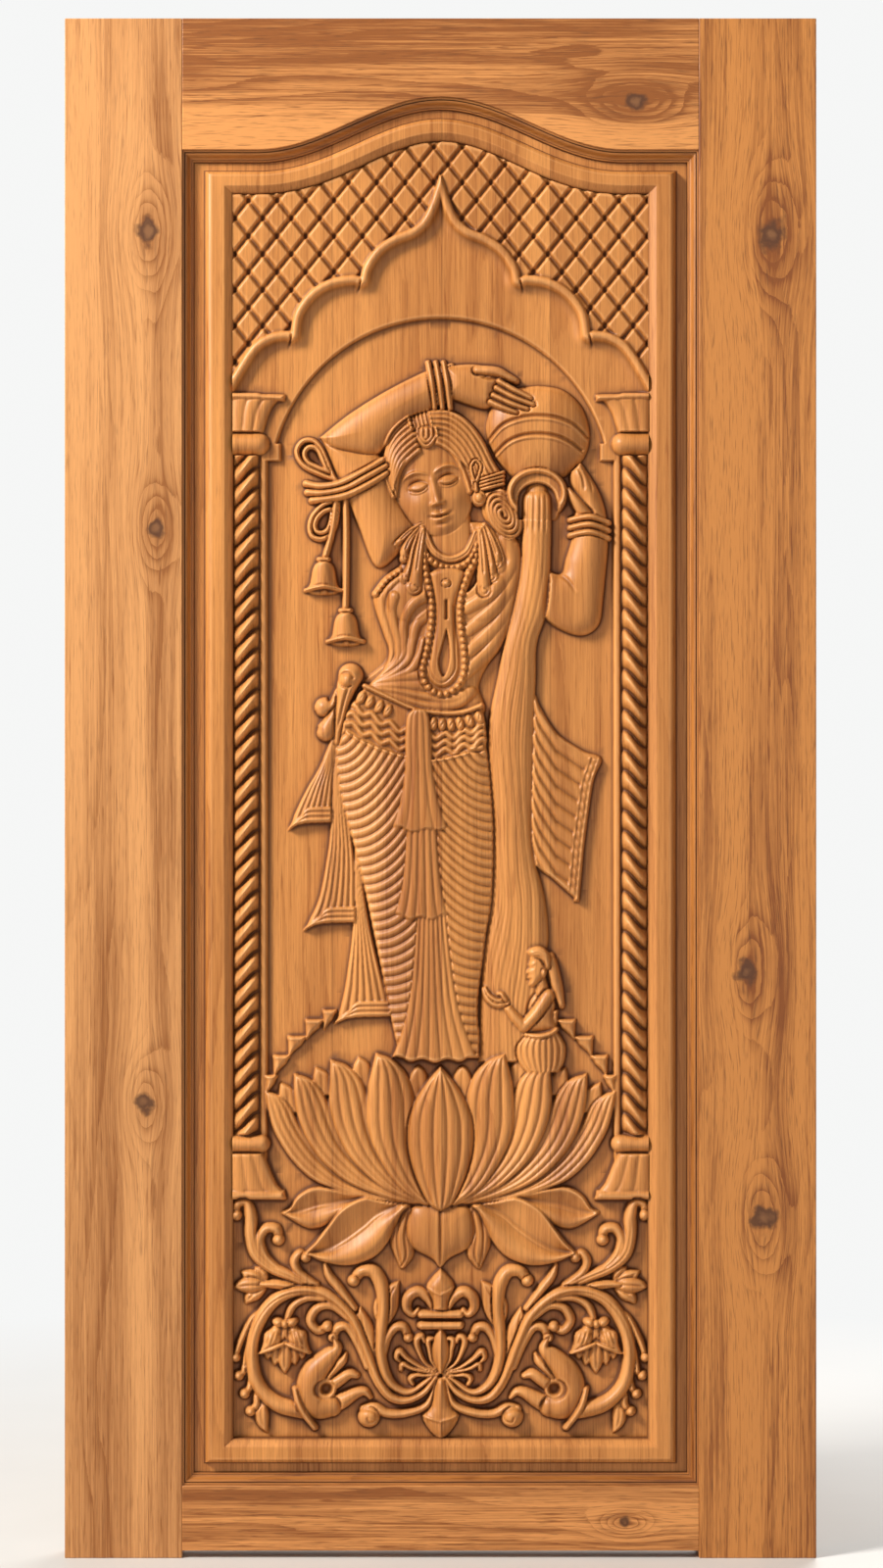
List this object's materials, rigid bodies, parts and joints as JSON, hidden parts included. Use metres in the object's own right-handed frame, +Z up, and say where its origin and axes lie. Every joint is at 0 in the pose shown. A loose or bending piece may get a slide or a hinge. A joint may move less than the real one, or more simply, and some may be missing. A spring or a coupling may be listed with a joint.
{
  "type": "carved door leaf",
  "caption": "Carved teak temple door leaf: arched stile and rail frame around a panel carved with a water-pouring figure on a lotus inside a pillared niche.",
  "frame": {"origin": "middle of the base of the leaf, on the floor, halfway through its thickness", "axes": "+Z up the leaf, +X to the right seen from the carved face, +Y out of the plain back, so the carved face looks along -Y"},
  "size_m": [1.025, 0.056, 2.1],
  "materials": {
    "frame": "satin",
    "moulding": "satin",
    "panel": "satin",
    "peg": "satin"
  },
  "bodies": {
    "root": {"left_stile": "frame", "right_stile": "frame", "top_rail": "frame", "bottom_rail": "frame", "left_moulding": "moulding", "right_moulding": "moulding", "arched_moulding": "moulding", "bottom_moulding": "moulding", "carved_panel": "panel", "tenon_peg_1": "peg", "tenon_peg_2": "peg", "tenon_peg_3": "peg", "tenon_peg_4": "peg", "tenon_peg_5": "peg", "tenon_peg_6": "peg", "tenon_peg_7": "peg", "tenon_peg_8": "peg"}
  },
  "joints": []
}
